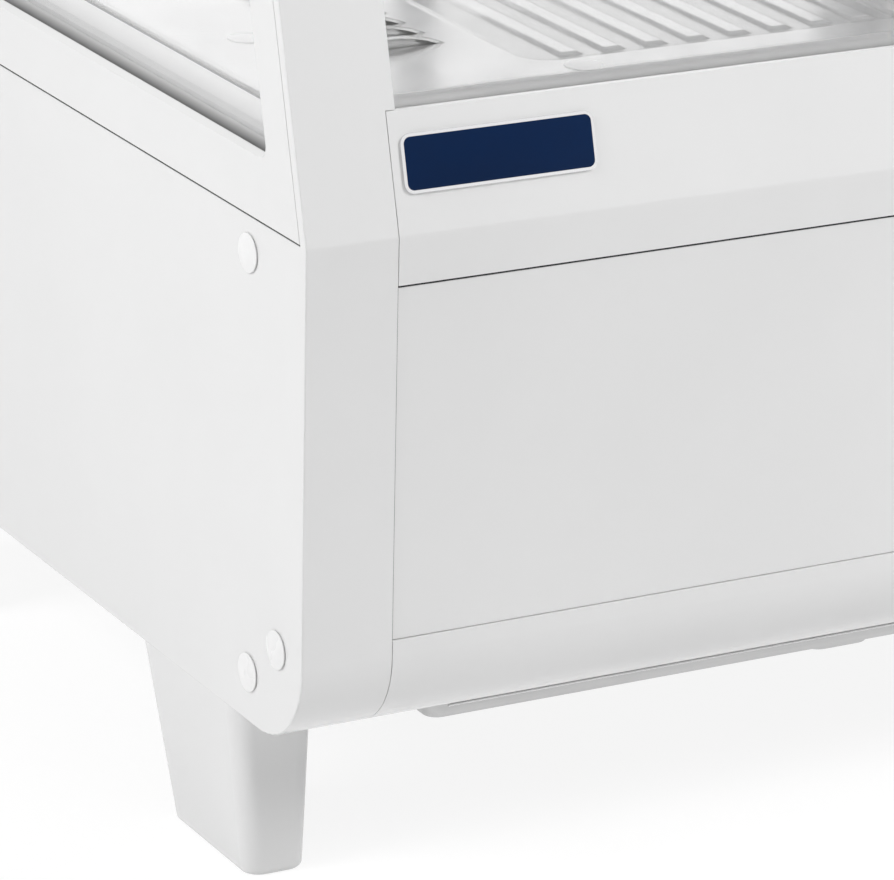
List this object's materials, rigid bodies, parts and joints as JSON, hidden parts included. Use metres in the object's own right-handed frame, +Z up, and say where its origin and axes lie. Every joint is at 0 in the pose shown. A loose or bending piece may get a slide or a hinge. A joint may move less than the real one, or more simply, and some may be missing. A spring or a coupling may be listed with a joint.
{
  "type": "countertop refrigerated display case",
  "caption": "Countertop refrigerated display case with leaning front glass, side windows, wire shelves, a ribbed deck, sliding rear doors, controls and a cooling unit below.",
  "frame": {"origin": "on the resting surface, under the middle of the case", "axes": "+X to the right seen from the front, +Y towards the doors at the back, +Z up"},
  "size_m": [0.6872, 0.568, 0.675],
  "materials": {
    "white_moulding": "satin",
    "white_sheet": "satin",
    "inner_white": "satin",
    "gasket": "matte",
    "glass": "clear",
    "aluminium": "satin",
    "stainless": "polished",
    "galvanised": "satin",
    "chrome": "polished",
    "opal": "satin",
    "nylon": "satin",
    "black_plastic": "satin",
    "grey_plastic": "satin",
    "display": "gloss",
    "rocker_green": "gloss",
    "rocker_red": "gloss",
    "compressor_black": "satin",
    "copper": "satin",
    "rubber": "matte",
    "foam": "matte"
  },
  "bodies": {
    "cabinet": {"left_end_panel": "white_moulding", "right_end_panel": "white_moulding", "left_window_frame": "white_moulding", "right_window_frame": "white_moulding", "window_gaskets": "gasket", "side_glass": "glass", "glass_spacers": "aluminium", "inner_trims": "inner_white", "corner_posts": "white_sheet", "sill_frame": "galvanised", "front_header": "inner_white", "front_glass": "glass", "front_glass_gasket": "gasket", "front_rail": "white_sheet", "front_panel": "white_sheet", "bottom_rail": "white_moulding", "canopy": "white_sheet", "ceiling_panel": "inner_white", "lamp_channel": "aluminium", "lamp_diffuser": "opal", "deck": "stainless", "shelf_uprights": "white_sheet", "shelf_brackets": "white_sheet", "lower_shelf": "chrome", "upper_shelf": "chrome", "bottom_track": "aluminium", "top_track": "aluminium", "rear_panel": "white_sheet", "cable_gland": "black_plastic", "control_bezel": "black_plastic", "display_window": "display", "base_pan": "galvanised", "front_left_foot": "white_moulding", "front_right_foot": "white_moulding", "rear_left_foot": "white_moulding", "rear_right_foot": "white_moulding", "foot_bolts": "galvanised", "screw_caps": "white_moulding", "insulated_tub": "foam", "evaporator_coil": "aluminium", "evaporator_fan_frame": "black_plastic", "drain": "grey_plastic", "compressor": "compressor_black", "compressor_mounts": "rubber", "condenser": "aluminium", "condenser_fan_frame": "black_plastic", "refrigerant_lines": "copper"},
    "left_door": {"left_door_frame": "aluminium", "left_door_pane": "glass", "left_door_glides": "nylon"},
    "right_door": {"right_door_frame": "aluminium", "right_door_pane": "glass", "right_door_glides": "nylon"},
    "condenser_fan": {"condenser_fan_wheel": "grey_plastic"},
    "evaporator_fan": {"evaporator_fan_wheel": "grey_plastic"},
    "light_switch": {"light_rocker": "rocker_green"},
    "power_switch": {"power_rocker": "rocker_red"},
    "set_key": {"set_button": "grey_plastic"},
    "down_key": {"down_button": "grey_plastic"},
    "up_key": {"up_button": "grey_plastic"}
  },
  "joints": [
    {"name": "left_door_slide", "type": "slide", "parent": "cabinet", "child": "left_door", "axis": [1, 0, 0], "range_m": [0, 0.28]},
    {"name": "right_door_slide", "type": "slide", "parent": "cabinet", "child": "right_door", "axis": [-1, 0, 0], "range_m": [0, 0.28]},
    {"name": "condenser_fan_spin", "type": "hinge", "parent": "cabinet", "child": "condenser_fan", "pos_m": [0.12, 0.1723, 0.1604], "axis": [0, 1, 0], "continuous": true},
    {"name": "evaporator_fan_spin", "type": "hinge", "parent": "cabinet", "child": "evaporator_fan", "pos_m": [0, 0.039, 0.3383], "axis": [0, 1, 0], "continuous": true},
    {"name": "light_switch_rock", "type": "hinge", "parent": "cabinet", "child": "light_switch", "pos_m": [0.186, 0.28125, 0.302], "axis": [1, 0, 0], "range_deg": [-18, 0]},
    {"name": "power_switch_rock", "type": "hinge", "parent": "cabinet", "child": "power_switch", "pos_m": [0.214, 0.28125, 0.302], "axis": [1, 0, 0], "range_deg": [-18, 0]},
    {"name": "set_key_press", "type": "slide", "parent": "cabinet", "child": "set_key", "axis": [0, -1, 0], "range_m": [0, 0.0012], "stiffness_N_per_m": 300},
    {"name": "down_key_press", "type": "slide", "parent": "cabinet", "child": "down_key", "axis": [0, -1, 0], "range_m": [0, 0.0012], "stiffness_N_per_m": 300},
    {"name": "up_key_press", "type": "slide", "parent": "cabinet", "child": "up_key", "axis": [0, -1, 0], "range_m": [0, 0.0012], "stiffness_N_per_m": 300}
  ]
}
